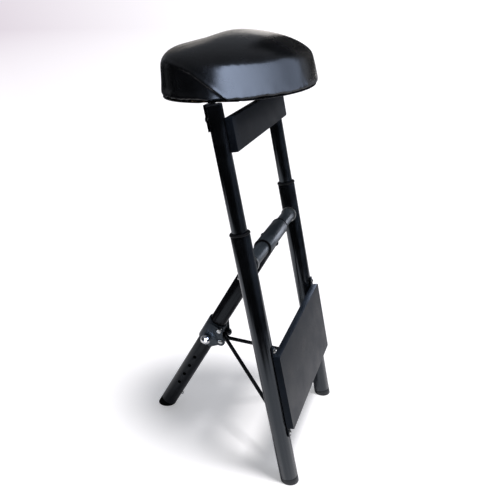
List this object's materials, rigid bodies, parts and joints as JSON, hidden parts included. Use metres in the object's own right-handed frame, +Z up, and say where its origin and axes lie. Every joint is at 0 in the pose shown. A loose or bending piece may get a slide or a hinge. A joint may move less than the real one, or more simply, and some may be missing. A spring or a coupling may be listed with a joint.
{
  "type": "folding stool",
  "caption": "Tall folding stool with a padded round-cornered seat, leaning telescopic front legs, a folding rear leg held by a locking collar and stays, and a kick plate.",
  "frame": {"origin": "on the floor, below the middle of the stool's box", "axes": "+X to the front, where the kick plate is, +Y to the sitter's left, +Z up"},
  "size_m": [0.3388, 0.314, 0.7539],
  "materials": {
    "frame_paint": "satin black powder coat",
    "plate_paint": "satin slate powder coat",
    "vinyl": "semi-gloss black vinyl",
    "board": "bare plywood",
    "plastic": "moulded black nylon",
    "rubber": "moulded black rubber",
    "zinc": "bright zinc plate",
    "chrome": "polished chrome",
    "spring": "spring steel"
  },
  "bodies": {
    "frame": {"left_lower_tube": "frame_paint", "left_leg_bush": "plastic", "left_front_foot": "rubber", "left_stay_stud": "frame_paint", "left_crossbar_washer": "zinc", "kick_screw_left_low": "zinc", "kick_screw_left_high": "zinc", "right_lower_tube": "frame_paint", "right_leg_bush": "plastic", "right_front_foot": "rubber", "right_stay_stud": "frame_paint", "right_crossbar_washer": "zinc", "kick_screw_right_low": "zinc", "kick_screw_right_high": "zinc", "crossbar": "frame_paint", "kick_plate": "plate_paint"},
    "seat_frame": {"left_upper_tube": "frame_paint", "left_button_spring": "spring", "left_bracket_bolt": "zinc", "left_seat_bracket": "frame_paint", "board_screw_left_front": "zinc", "board_screw_left_rear": "zinc", "right_upper_tube": "frame_paint", "right_button_spring": "spring", "right_bracket_bolt": "zinc", "right_seat_bracket": "frame_paint", "board_screw_right_front": "zinc", "board_screw_right_rear": "zinc", "upper_plate": "plate_paint", "seat_board": "board", "seat_cushion": "vinyl"},
    "height_button_left": {"left_height_button": "zinc"},
    "height_button_right": {"right_height_button": "zinc"},
    "rear_leg": {"left_sleeve_bush": "plastic", "right_sleeve_bush": "plastic", "hinge_sleeve": "frame_paint", "rear_tube": "frame_paint", "rear_foot": "rubber", "rear_stop_pin": "zinc"},
    "collar": {"left_bracket_plate": "plate_paint", "left_bracket_screw": "zinc", "left_pin_spacer": "plastic", "right_bracket_plate": "plate_paint", "right_bracket_screw": "zinc", "right_pin_spacer": "plastic", "slide_collar": "frame_paint", "pivot_pin": "zinc", "middle_pin_spacer": "plastic"},
    "knob": {"pull_knob": "chrome"},
    "stay_left": {"left_stay": "frame_paint", "left_stay_rivet": "zinc"},
    "stay_right": {"right_stay": "frame_paint", "right_stay_rivet": "zinc"}
  },
  "joints": [
    {"name": "seat_height", "type": "slide", "parent": "frame", "child": "seat_frame", "axis": [-0.2045, 0, 0.9789], "range_m": [-0.1, 0.05]},
    {"name": "rear_leg_fold", "type": "hinge", "parent": "frame", "child": "rear_leg", "pos_m": [0.06801, 0, 0.40721], "axis": [0, -1, 0], "range_deg": [0, 31.1]},
    {"name": "collar_slide", "type": "slide", "parent": "rear_leg", "child": "collar", "axis": [0.4741, 0, 0.8805], "range_m": [0, 0.1024]},
    {"name": "knob_pull", "type": "slide", "parent": "collar", "child": "knob", "axis": [0, -1, 0], "range_m": [0, 0.006], "stiffness_N_per_m": 900, "springref_m": -0.004},
    {"name": "stay_swing_left", "type": "hinge", "parent": "collar", "child": "stay_left", "pos_m": [-0.02241, 0.0045, 0.18445], "axis": [0, 1, 0], "range_deg": [0, 81.1]},
    {"name": "button_press_left", "type": "slide", "parent": "seat_frame", "child": "height_button_left", "axis": [0.9789, 0, 0.2045], "range_m": [0, 0.005], "stiffness_N_per_m": 1500, "springref_m": -0.003, "deforming": ["left_button_spring"]},
    {"name": "stay_swing_right", "type": "hinge", "parent": "collar", "child": "stay_right", "pos_m": [-0.02241, -0.0045, 0.18445], "axis": [0, 1, 0], "range_deg": [0, 81.1]},
    {"name": "button_press_right", "type": "slide", "parent": "seat_frame", "child": "height_button_right", "axis": [0.9789, 0, 0.2045], "range_m": [0, 0.005], "stiffness_N_per_m": 1500, "springref_m": -0.003, "deforming": ["right_button_spring"]}
  ],
  "couplings": [
    {"joint": "collar_slide", "follows": "rear_leg_fold", "m_per_rad": 0.18831},
    {"joint": "stay_swing_left", "follows": "rear_leg_fold", "ratio": 2.6049},
    {"joint": "stay_swing_right", "follows": "rear_leg_fold", "ratio": 2.6049}
  ]
}
